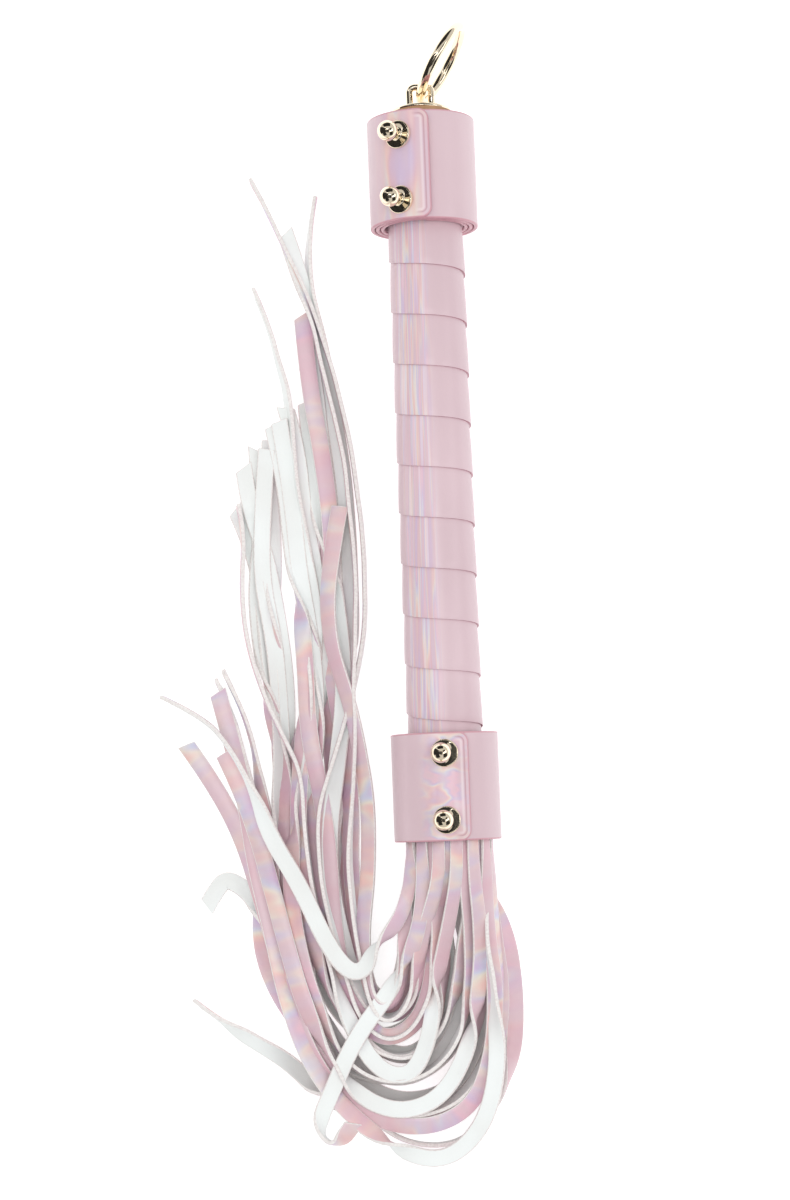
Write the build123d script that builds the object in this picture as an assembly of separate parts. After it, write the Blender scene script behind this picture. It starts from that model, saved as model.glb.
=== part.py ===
from build123d import *
from math import cos, radians, sin, sqrt, tan
import os

# Many-tailed leather whip (flogger), lying on a table, in millimetres.
# +Z is up and the table is z = 0. The handle lies along Y with its ring at +Y and its
# tails leaving the -Y end. The origin is under the middle of the handle and ring.

# ---- Driving dimensions ----
HANDLE_LENGTH = 208.0         # mouth of the lower collar to the far rim of the top collar
CORE_PROUD = 2.5              # how far the core's end stands out of the top collar
CORE_RADIUS = 9.0
GRIP_RADIUS = 11.0            # over the wound strip
STRAP_THICKNESS = 1.40        # one layer of a collar
STRAP_GAP = 0.04              # air between two layers of a collar
COLLAR_LENGTH = 31.0
TOP_TURNS = 3
LOWER_TURNS = 2
TOP_FLAP_ANGLE = 6.0          # how far past the top each collar's free end reaches
LOWER_FLAP_ANGLE = 22.0
BAND_RADIUS = 12.4            # over the rolled root of the tails
BAND_LENGTH = 23.4
MOUTH_INSET = 0.6             # how far inside the lower collar the tails begin
BRAD_RADIUS = 0.6
BRAD_DEPTH = 6.0              # how far each nail goes into the core
BRAD_PLACE = 12.0             # along from the mouth
NAIL_SHORT = 0.1              # how far a nail ends under the rolled root's surface

STUD_BASE_RADIUS = 4.0
STUD_BASE_HEIGHT = 1.1
STUD_STEM_RADIUS = 1.5
STUD_BALL_RADIUS = 2.9
STUD_BALL_HEIGHT = 5.8        # base underside to ball centre
STUD_SINK = 0.5               # how far a base beds into the strap
STUD_CHAMFER = 0.35
SCREW_TIP = 1.0               # how far a screw ends short of the ball's centre
SCREW_RADIUS = 1.2
SCREW_HEAD_RADIUS = 3.2
SCREW_HEAD_HEIGHT = 0.7
TOP_STUDS = {"across": -7.2, "lean": 33.0, "along": (182.5, 201.0)}
LOWER_STUDS = {"across": -0.8, "lean": 12.0, "along": (6.0, 25.0)}

PLATE_RADIUS = 8.5
PLATE_HEIGHT = 1.2
STAPLE_WIRE_RADIUS = 1.0
STAPLE_HALF_WIDTH = 3.2       # leg centre to the middle
STAPLE_REACH = 6.6            # plate to the middle of the bar
STAPLE_CORNER = 1.6
PRONG_LENGTH = 9.0            # how far each leg is driven into the core
RING_RADIUS = 11.7            # to the middle of the wire
RING_WIRE_RADIUS = 1.45
RING_DROOP = 9.5              # the ring sags from the staple to the table
RING_TURN = 33.0              # and is turned aside
RING_CLEARANCE = 0.1          # between the ring and the staple's bar
CORNER_SHARE = 0.45           # of a run that the arc at its end may take

TAIL_WIDTH = 5.0
TAIL_THICKNESS = 1.1
LANE_PITCH = 5.1              # sideways spacing of the tails at the mouth
MOUTH_LEVEL_PITCH = 1.65      # spacing of the layers of tails at the mouth
TABLE_LEVEL_PITCH = 1.7       # and where they lie on the table
TABLE_CLEARANCE = 0.1         # under the lowest layer
DROP_START = 10.0             # the tails run straight out this far
DROP_LENGTH = 36.0            # and then sink to the table over this much of their route

# One tail: its layer counted up from the table, its lane at the mouth, and the points
# that its route bends at after the two at the mouth, as (across, along) from the mouth.
TAIL_ROUTES = [
    (7, -0.5, [(-10, -27), (-18, -42), (-30, -57), (-37, -72), (-41, -80), (-40, -86),
               (-35, -87), (-31, -81)]),
    (8, -0.5, [(-14, -22), (-21, -29), (-24, -35), (-30, -35), (-36, -27), (-44, -11),
               (-52, 3), (-56, 16), (-63, 30), (-71, 39), (-81, 44)]),
    (6, 0.5, [(-1, -27), (-4, -44), (-9, -57), (-18, -65), (-27, -59), (-32, -46),
              (-37, -31), (-40, -13), (-42, 4), (-42, 21), (-47, 32), (-53, 46),
              (-57, 61), (-58, 76), (-56, 92), (-58, 100)]),
    (6, 1.5, [(8, -27), (7, -44), (3, -62), (-5, -75), (-17, -79), (-29, -74),
              (-38, -61), (-44, -46), (-48, -31), (-52, -13), (-56, 4), (-61, 19),
              (-65, 28)]),
    (6, -0.5, [(-9, -27), (-12, -42), (-16, -50), (-21, -52), (-25, -46), (-27, -33),
               (-29, -17), (-29, 1), (-27, 19), (-26, 32), (-26, 45), (-25, 60),
               (-24, 78), (-25, 98), (-27, 119), (-31, 137), (-34, 155), (-38, 170),
               (-41, 180)]),
    (5, -0.5, [(-4, -27), (-7, -44), (-13, -55), (-21, -58), (-28, -51), (-32, -37),
               (-36, -22), (-38, -7), (-38, 9), (-33, 24), (-27, 41), (-23, 57),
               (-21, 75), (-22, 95), (-24, 119), (-30, 146), (-38, 170), (-50, 195)]),
    (5, 0.5, [(5, -27), (5, -44), (0, -60), (-11, -69), (-23, -70), (-33, -63),
              (-40, -49), (-45, -31), (-47, -13), (-45, 5), (-40, 22), (-37, 40),
              (-38, 61), (-41, 81), (-42, 102), (-45, 125)]),
    (5, 1.5, [(14, -27), (17, -44), (14, -64), (6, -78), (-9, -84), (-25, -81),
              (-38, -71), (-46, -56), (-51, -38), (-56, -17), (-61, 2), (-68, 19),
              (-76, 31)]),
    (4, -0.5, [(-7, -27), (-10, -42), (-15, -50), (-22, -52), (-27, -44), (-32, -30),
               (-35, -13), (-35, 4), (-32, 22), (-29, 42), (-29, 60), (-31, 78),
               (-31, 96), (-33, 116), (-36, 137), (-37, 156)]),
    (4, 0.5, [(3, -27), (1, -44), (-5, -56), (-14, -64), (-26, -60), (-35, -48),
              (-40, -32), (-43, -15), (-44, 3), (-43, 19), (-41, 36), (-37, 53),
              (-37, 72), (-40, 90), (-42, 111), (-42, 132), (-45, 143), (-47, 153),
              (-51, 163)]),
    (4, 1.5, [(12, -27), (13, -44), (10, -62), (1, -76), (-14, -81), (-29, -77),
              (-41, -63), (-48, -47), (-51, -29), (-53, -11), (-50, 6), (-48, 24),
              (-48, 43), (-49, 61), (-52, 79), (-51, 98), (-49, 117)]),
    (3, 1.5, [(14, -27), (18, -44), (16, -66), (8, -83), (-6, -92), (-21, -87),
              (-34, -78), (-45, -64), (-52, -46), (-55, -24), (-58, -5), (-59, 13),
              (-62, 29), (-66, 46)]),
    (3, 0.5, [(5, -27), (8, -44), (5, -62), (-4, -75), (-17, -78), (-30, -72),
              (-40, -59), (-45, -43), (-48, -23), (-49, -4), (-48, 15), (-46, 33),
              (-46, 52), (-48, 70), (-51, 88), (-55, 101), (-56, 112)]),
    (3, -0.5, [(-3, -27), (-3, -44), (-6, -57), (-15, -64), (-25, -60), (-33, -46),
               (-38, -30), (-40, -12), (-40, 6), (-39, 24), (-35, 41), (-36, 60),
               (-36, 80), (-39, 99), (-40, 117), (-43, 129)]),
    (3, -1.5, [(-14, -27), (-15, -39), (-18, -47), (-23, -48), (-26, -40), (-27, -25),
               (-25, -10), (-23, 6), (-23, 24), (-25, 43), (-29, 63), (-30, 81),
               (-28, 99)]),
    (2, 1.5, [(12, -27), (14, -44), (12, -62), (4, -78), (-10, -84), (-26, -80),
              (-38, -69), (-47, -54), (-51, -36), (-53, -17), (-53, 2), (-55, 20),
              (-57, 36), (-64, 52)]),
    (2, 0.5, [(3, -27), (4, -44), (-1, -59), (-11, -69), (-23, -69), (-34, -61),
              (-41, -47), (-44, -29), (-44, -12), (-45, 6), (-47, 24), (-51, 42),
              (-53, 58), (-54, 76), (-51, 94), (-52, 117)]),
    (2, -0.5, [(-5, -27), (-7, -44), (-12, -54), (-21, -58), (-28, -51), (-33, -37),
               (-35, -19), (-35, -2), (-37, 16), (-40, 34), (-40, 53), (-41, 72),
               (-43, 90), (-44, 108), (-47, 124)]),
    (2, -1.5, [(-12, -27), (-14, -40), (-17, -48), (-23, -49), (-26, -40), (-28, -24),
               (-29, -6), (-28, 11), (-29, 29), (-32, 46), (-32, 63), (-31, 81),
               (-31, 100), (-33, 119), (-34, 134), (-36, 149)]),
    (1, 1.5, [(16, -27), (18, -44), (17, -64), (11, -80), (-1, -90), (-15, -89),
              (-27, -81), (-38, -69), (-47, -54), (-54, -41), (-57, -26), (-55, -10),
              (-56, 7), (-58, 23), (-61, 37), (-66, 49)]),
    (1, 0.5, [(7, -27), (9, -44), (6, -62), (-2, -74), (-16, -77), (-29, -71),
              (-38, -58), (-44, -41), (-47, -22), (-48, -3), (-48, 17), (-49, 34),
              (-51, 54), (-52, 73), (-54, 88), (-59, 100)]),
    (1, -0.5, [(-2, -27), (-1, -44), (-5, -57), (-14, -64), (-24, -60), (-32, -47),
               (-36, -30), (-38, -10), (-39, 9), (-39, 28), (-37, 46), (-37, 66),
               (-39, 84), (-40, 105), (-42, 122)]),
    (1, -1.5, [(-11, -27), (-12, -42), (-15, -50), (-21, -51), (-26, -43), (-28, -27),
               (-30, -8), (-31, 12), (-30, 31), (-27, 50), (-26, 70), (-26, 91),
               (-27, 112), (-30, 133), (-33, 152), (-35, 169), (-34, 180), (-32, 191)]),
    (0, 1.5, [(11, -27), (13, -44), (10, -64), (1, -79), (-15, -83), (-29, -79),
              (-40, -74), (-49, -64), (-60, -57), (-69, -51), (-76, -45)]),
    (0, 0.5, [(4, -27), (5, -44), (0, -60), (-11, -69), (-24, -69), (-37, -63),
              (-46, -52), (-51, -38), (-55, -23), (-58, -15), (-62, -11), (-66, -9),
              (-69, -12), (-72, -17)]),
    (0, -0.5, [(-5, -27), (-7, -44), (-12, -54), (-21, -58), (-31, -54), (-38, -43),
               (-42, -25), (-43, -6), (-43, 13), (-46, 31), (-48, 49), (-49, 70),
               (-48, 90), (-49, 107), (-48, 120)]),
    (0, -1.5, [(-13, -27), (-15, -39), (-18, -46), (-24, -46), (-28, -36), (-30, -18),
               (-31, 0), (-33, 19), (-34, 38), (-33, 57), (-33, 75), (-34, 94),
               (-36, 114), (-37, 131)]),
]
LEVELS = 8

# ---- Worked out ----
STRAP_PITCH = STRAP_THICKNESS + STRAP_GAP
TOP_BORE = GRIP_RADIUS
LOWER_BORE = TOP_BORE + STRAP_PITCH
AXIS_HEIGHT = TOP_BORE + (TOP_TURNS - 1) * STRAP_PITCH + STRAP_THICKNESS
CORE_END = HANDLE_LENGTH + CORE_PROUD
PLATE_TOP = CORE_END + PLATE_HEIGHT
RING_PIVOT = (PLATE_TOP + STAPLE_REACH - STAPLE_WIRE_RADIUS - RING_WIRE_RADIUS
              - RING_CLEARANCE)
RING_DIRECTION = Vector(
    sin(radians(RING_TURN)) * cos(radians(RING_DROOP)),
    cos(radians(RING_TURN)) * cos(radians(RING_DROOP)),
    -sin(radians(RING_DROOP)),
)
RING_AXIS = Vector(cos(radians(RING_TURN)), -sin(radians(RING_TURN)), 0)
RING_TOP = RING_PIVOT + RING_RADIUS * RING_DIRECTION.Y + RING_WIRE_RADIUS + (
    RING_RADIUS * cos(radians(RING_TURN)))
MOUTH_Y = -RING_TOP / 2       # the mouth's place once the origin is in the middle


def along(y):
    """A distance from the mouth, as a place on the frame's Y axis."""
    return MOUTH_Y + y


def rod(radius, start, end):
    """A round bar on the handle's axis."""
    plane = Plane(origin=(0, along(start), AXIS_HEIGHT), x_dir=(1, 0, 0), z_dir=(0, 1, 0))
    return extrude(plane * Circle(radius), end - start)


def wound_strap(bore, turns, flap_angle, start, end):
    """A strap wound round the handle, as half turns whose centres step from side to side."""
    half = STRAP_PITCH / 2
    inner, outer = [], []
    height = bore
    for turn in range(2 * turns):
        radius = bore + turn * half
        side = 1 if turn % 2 == 0 else -1
        centre = 0 if turn % 2 == 0 else half
        for edges, r in ((inner, radius), (outer, radius + STRAP_THICKNESS)):
            top, low = centre + r, centre - r
            ends = ((0, top), (0, low)) if turn % 2 == 0 else ((0, low), (0, top))
            edges.append(ThreePointArc(ends[0], (side * r, centre), ends[1]))
        height = centre + radius
    for edges, r in ((inner, height), (outer, height + STRAP_THICKNESS)):
        points = [(r * sin(radians(a)), r * cos(radians(a)))
                  for a in (0, flap_angle / 2, flap_angle)]
        edges.append(ThreePointArc(*points))
    ends = [Line(inner[0] @ 0, outer[0] @ 0), Line(inner[-1] @ 1, outer[-1] @ 1)]
    face = make_face(inner + outer + ends)
    plane = Plane(origin=(0, along(end), AXIS_HEIGHT), x_dir=(1, 0, 0), z_dir=(0, -1, 0))
    return extrude(plane * face, end - start)


def stud_plane(studs, y, turns, bore):
    """Where a stud stands on the outermost half turn, leaning to its own side."""
    half = STRAP_PITCH / 2
    radius = bore + (2 * turns - 1) * half + STRAP_THICKNESS
    height = AXIS_HEIGHT + half + sqrt(radius**2 - studs["across"] ** 2)
    lean = radians(studs["lean"])
    normal = Vector(-sin(lean), 0, cos(lean))
    origin = Vector(studs["across"], along(y), height) - normal * STUD_SINK
    return Plane(origin=origin, x_dir=(0, 1, 0), z_dir=normal)


def stud(plane):
    """A stud: a round base, a short stem and a ball."""
    base = plane * extrude(Circle(STUD_BASE_RADIUS), STUD_BASE_HEIGHT)
    base = chamfer(base.faces().sort_by(Axis(plane.origin, plane.z_dir))[-1].edges(), STUD_CHAMFER)
    stem = plane * extrude(Circle(STUD_STEM_RADIUS), STUD_BALL_HEIGHT)
    ball = plane * Pos(0, 0, STUD_BALL_HEIGHT) * Sphere(STUD_BALL_RADIUS)
    bore = plane * extrude(Circle(SCREW_RADIUS), STUD_BALL_HEIGHT - SCREW_TIP)
    return base + stem + ball - bore


def stud_screw(plane):
    """The flat-headed screw that holds a stud, its head under the outer layer."""
    depth = STRAP_THICKNESS - STUD_SINK
    shank = plane * Pos(0, 0, -depth) * extrude(
        Circle(SCREW_RADIUS), depth + STUD_BALL_HEIGHT - SCREW_TIP)
    head = plane * Pos(0, 0, -depth - SCREW_HEAD_HEIGHT) * extrude(
        Circle(SCREW_HEAD_RADIUS), SCREW_HEAD_HEIGHT)
    return shank + head


def studded_collar(studs, bore, turns, flap_angle, start, end):
    """A collar with its two studs and their screws let into it."""
    collar = wound_strap(bore, turns, flap_angle, start, end)
    planes = [stud_plane(studs, y, turns, bore) for y in studs["along"]]
    heads = [stud(p) for p in planes]
    screws = [stud_screw(p) for p in planes]
    for piece in heads + screws:
        collar -= piece
    return collar, heads, screws


def band_brads():
    """Three headless nails that pin the rolled root of the tails to the core."""
    brads = []
    for angle in (0, 120, 240):
        out = Vector(cos(radians(angle)), 0, sin(radians(angle)))
        start = Vector(0, along(BRAD_PLACE), AXIS_HEIGHT) + out * (CORE_RADIUS - BRAD_DEPTH)
        plane = Plane(origin=start, x_dir=(0, 1, 0), z_dir=out)
        length = BAND_RADIUS - CORE_RADIUS + BRAD_DEPTH - NAIL_SHORT
        brads.append(plane * extrude(Circle(BRAD_RADIUS), length))
    return brads


def ring_staple():
    """A wire staple: two prongs driven into the core and a bar that carries the ring."""
    foot, bar = along(CORE_END - PRONG_LENGTH), along(PLATE_TOP + STAPLE_REACH)
    half = STAPLE_HALF_WIDTH
    path = FilletPolyline(
        (-half, foot, AXIS_HEIGHT), (-half, bar, AXIS_HEIGHT),
        (half, bar, AXIS_HEIGHT), (half, foot, AXIS_HEIGHT), radius=STAPLE_CORNER)
    section = Plane(origin=(-half, foot, AXIS_HEIGHT), x_dir=(1, 0, 0), z_dir=(0, 1, 0))
    return sweep(section * Circle(STAPLE_WIRE_RADIUS), path=path)


def hanging_ring():
    """The round ring, threaded through the staple and resting on the table."""
    centre = Vector(0, along(RING_PIVOT), AXIS_HEIGHT) + RING_DIRECTION * RING_RADIUS
    plane = Plane(origin=centre, x_dir=RING_DIRECTION, z_dir=RING_AXIS)
    return plane * Torus(RING_RADIUS, RING_WIRE_RADIUS)


def tail_points(level, lane, route):
    """A tail's route in the frame: level at the mouth, sinking, then flat on its layer."""
    middle = (LEVELS - 1) / 2
    high = AXIS_HEIGHT + (level - middle) * MOUTH_LEVEL_PITCH
    low = TABLE_CLEARANCE + TAIL_THICKNESS / 2 + level * TABLE_LEVEL_PITCH
    x = lane * LANE_PITCH
    points = [Vector(x, along(MOUTH_INSET), high), Vector(x, along(-DROP_START), high)]
    gone = 0
    for across, back in route:
        flat = Vector(across, along(back), high)
        gone += (flat - Vector(points[-1].X, points[-1].Y, high)).length
        sunk = min(1, gone / DROP_LENGTH)
        points.append(flat + Vector(0, 0, (low - high) * sunk))
    return points


def corner_radii(points):
    """The largest radius that fits each corner of a route."""
    radii = []
    for before, corner, after in zip(points, points[1:], points[2:]):
        first, second = corner - before, after - corner
        turn = radians(first.get_angle(second))
        radii.append(CORNER_SHARE * min(first.length, second.length) / tan(turn / 2))
    return radii


def tail(points):
    """A flat strip that follows straight runs joined by tangent arcs."""
    path = FilletPolyline(*points, radius=corner_radii(points))
    section = Plane(origin=points[0], x_dir=(1, 0, 0), z_dir=(0, -1, 0))
    return sweep(section * Rectangle(TAIL_WIDTH, TAIL_THICKNESS), path=path), path.length


def main():
    os.makedirs("parts", exist_ok=True)
    parts = {}
    brads = band_brads()
    staple = ring_staple()

    core = rod(CORE_RADIUS, MOUTH_INSET, CORE_END) - staple
    band = rod(BAND_RADIUS, MOUTH_INSET, MOUTH_INSET + BAND_LENGTH)
    band -= rod(CORE_RADIUS, MOUTH_INSET, MOUTH_INSET + BAND_LENGTH)
    for brad in brads:
        core -= brad
        band -= brad
    wrap = rod(GRIP_RADIUS, MOUTH_INSET + BAND_LENGTH, HANDLE_LENGTH)
    wrap -= rod(CORE_RADIUS, MOUTH_INSET + BAND_LENGTH, HANDLE_LENGTH)
    plate = rod(PLATE_RADIUS, CORE_END, PLATE_TOP)
    rim = plate.faces().sort_by(Axis.Y)[-1].edges()
    plate = fillet(rim, PLATE_HEIGHT / 2) - staple

    top, top_studs, top_screws = studded_collar(
        TOP_STUDS, TOP_BORE, TOP_TURNS, TOP_FLAP_ANGLE,
        HANDLE_LENGTH - COLLAR_LENGTH, HANDLE_LENGTH)
    lower, lower_studs, lower_screws = studded_collar(
        LOWER_STUDS, LOWER_BORE, LOWER_TURNS, LOWER_FLAP_ANGLE, 0, COLLAR_LENGTH)

    parts["handle_core"] = core
    parts["grip_wrap"] = wrap
    parts["tail_root_band"] = band
    parts["band_brads"] = Compound(brads)
    parts["top_collar"] = top
    parts["lower_collar"] = lower
    parts["top_collar_studs"] = Compound(top_studs)
    parts["lower_collar_studs"] = Compound(lower_studs)
    parts["top_stud_screws"] = Compound(top_screws)
    parts["lower_stud_screws"] = Compound(lower_screws)
    parts["end_plate"] = plate
    parts["ring_staple"] = staple
    parts["hanging_ring"] = hanging_ring()

    for number, (level, lane, route) in enumerate(TAIL_ROUTES, start=1):
        points = tail_points(level, lane, route)
        strip, length = tail(points)
        parts[f"tail_{number:02d}"] = strip
        share = strip.volume / (TAIL_WIDTH * TAIL_THICKNESS * length)
        print(f"tail_{number:02d} length {length:.0f} share of volume {share:.4f} "
              f"smallest radius {min(corner_radii(points)):.1f}")

    for name, shape in parts.items():
        export_step(shape, f"parts/{name}.step")


if __name__ == "__main__":
    main()
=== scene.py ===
from math import acos, cos, degrees, pi, radians, sin, sqrt

import bmesh
import bpy
from mathutils import Matrix, Vector, noise


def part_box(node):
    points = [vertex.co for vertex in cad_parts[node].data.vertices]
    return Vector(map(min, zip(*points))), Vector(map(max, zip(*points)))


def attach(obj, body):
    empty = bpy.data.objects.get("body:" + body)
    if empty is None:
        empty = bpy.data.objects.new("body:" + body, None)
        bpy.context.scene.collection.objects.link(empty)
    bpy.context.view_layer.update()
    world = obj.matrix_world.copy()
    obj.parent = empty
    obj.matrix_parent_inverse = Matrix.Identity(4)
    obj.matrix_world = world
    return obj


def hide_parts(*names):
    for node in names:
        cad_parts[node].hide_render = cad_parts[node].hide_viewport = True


# The looks of a many-tailed leather whip (flogger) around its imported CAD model.
# Metres, +Z up, table at z = 0, handle along Y with its ring at +Y.
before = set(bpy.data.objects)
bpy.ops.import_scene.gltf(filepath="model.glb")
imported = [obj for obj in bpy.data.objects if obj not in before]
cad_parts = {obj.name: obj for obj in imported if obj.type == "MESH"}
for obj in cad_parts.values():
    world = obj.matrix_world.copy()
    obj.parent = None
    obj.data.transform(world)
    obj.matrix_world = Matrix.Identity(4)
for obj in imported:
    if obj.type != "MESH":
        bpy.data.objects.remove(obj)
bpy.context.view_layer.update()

MM = 0.001
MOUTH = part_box("lower_collar")[0][1]              # where the tails leave the handle
AXIS = sum(corner[2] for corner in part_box("handle_core")) / 2
HANDLE_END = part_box("top_collar")[1][1]
CORE_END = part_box("handle_core")[1][1]            # stands a little out of the top collar

# ---- Dimensions that the CAD has too ----
GRIP_RADIUS = 11.0 * MM
STRAP_THICKNESS = 1.40 * MM
STRAP_PITCH = 1.44 * MM
COLLAR_LENGTH = 31.0 * MM
FLAP_CORNER = 3.0 * MM
# A collar's bore, turns and the angle of its free end, in degrees from the top. The last two
# are looks: the angle where its painted sheen starts, and its pace round and along the collar.
TOP_COLLAR = {"bore": 11.0 * MM, "turns": 3, "flap": 6.0, "painted_sheen": -50,
              "swirl": (3.0, 14.0)}
LOWER_COLLAR = {"bore": 12.44 * MM, "turns": 2, "flap": 22.0, "painted_sheen": -22,
                "swirl": (2.6, 95.0)}
STUD = {"base": 4.0 * MM, "height": 1.1 * MM, "stem": 1.5 * MM, "ball": 2.9 * MM,
        "reach": 5.8 * MM, "sink": 0.5 * MM}
TOP_STUDS = {"across": -7.2 * MM, "lean": 33.0, "along": (182.5 * MM, 201.0 * MM)}
LOWER_STUDS = {"across": -0.8 * MM, "lean": 12.0, "along": (6.0 * MM, 25.0 * MM)}
PLATE_RADIUS = 8.5 * MM
PLATE_HEIGHT = 1.2 * MM
STAPLE = {"wire": 1.0 * MM, "half": 3.2 * MM, "reach": 6.6 * MM, "corner": 1.6 * MM,
          "prong": 9.0 * MM}
RING = {"radius": 11.7 * MM, "wire": 1.45 * MM, "droop": 9.5, "turn": 33.0}

STRIP_WIDTH = 5.0 * MM
STRIP_THICKNESS = 1.1 * MM
LANE_PITCH = 5.1 * MM
LEVELS = 8
MOUTH_LEVEL_PITCH = 1.65 * MM
TABLE_LEVEL_PITCH = 1.7 * MM
TABLE_CLEARANCE = 0.1 * MM
DROP_START = 10.0 * MM        # that the tails run straight out of the mouth
DROP_LENGTH = 36.0 * MM       # and over which they then sink to the table

# ---- Dimensions of the looks alone ----
STUD_RIM = 0.4 * MM           # rounding of a stud's base
STUD_FILLET = [(0.5 * MM, 0.0), (0.12 * MM, 0.25 * MM), (0.0, 0.7 * MM)]   # out, up
RING_ROLL = -4.0              # degrees that the ring is rolled about its own reach

STRAP_SQUEEZE = 0.26 * MM     # by which a strap is thinner, so that its turns show
STRAP_CORNER = 0.36 * MM
STRAP_STEP = 1.3 * MM         # between the cuts that let it wind
STRAP_ROWS = 8
# Distances in from a strap's edges, between which its paint ends, and the painted shade of a line
# creased into it and the painted glint beside that line rise and fall.
PAINT_END = (0.3 * MM, 0.6 * MM)
CREASE = (1.15 * MM, 1.35 * MM, 1.5 * MM, 1.8 * MM)
GLINT = (1.8 * MM, 2.1 * MM, 2.3 * MM, 2.9 * MM)
CREASE_END = (2.5 * MM, 5.0 * MM)     # from the free end, where both fade out

WRAP_PITCH = 14.5 * MM
WRAP_OVERLAP = 2.6 * MM
WRAP_THICKNESS = 0.6 * MM
WRAP_CORNER = 0.15 * MM
WRAP_CUTS = 56                # round each turn
WRAP_ROWS = 8
WRAP_PHASE = 3.0 * MM
WRAP_SLACK = 0.09             # of the pitch, by which the turns run flatter in front
WRAP_BOW = 0.05               # and by which they bow down in front
WRAP_TUCK = 0.55 * MM         # by which a turn's upper edge goes under the next turn
WRAP_SETTLE = 0.12 * MM       # and by which all of it but its lower edge lies deeper
WRAP_PRESS = 0.08 * MM        # and which is added at that lower edge
WRAP_FOOT = HANDLE_END + WRAP_PHASE - WRAP_OVERLAP   # a turn's lower edge, on top

OUTER_ROOT = 11.7 * MM        # radius of the outer layer of the rolled roots
INNER_ROOT = 10.3 * MM        # and of the inner one
ROOT_INSET = 0.6 * MM         # by which a tail starts inside the mouth
ROOT_SHARE = 0.70             # of its width that a tail shows at the mouth
ROOT_FLARE = 45.0 * MM        # and how far out it has its whole width
TIP_SINK = 1.05 * MM          # for each layer under it, by which a tail comes down at its tip
SINK_START = 120.0 * MM
SINK_LENGTH = 90.0 * MM
STRIP_ROWS = 4
STRIP_CORNER = 0.22 * MM
STRIP_CURL = 0.35 * MM        # by which it cups across its width
STRIP_WAVE = 0.4 * MM         # and by which it waves along its length,
WAVE_PACE = 60                # this fast for each metre
TIP_SLANT = 1.4 * MM          # by which its end is off square, at most
# What sets one tail apart from the next: its slant, the place in its pattern and its waves.
SLANT_SHIFT, PATTERN_SHIFT, WAVE_SHIFT = 2.3, 0.37, 7.0

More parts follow.
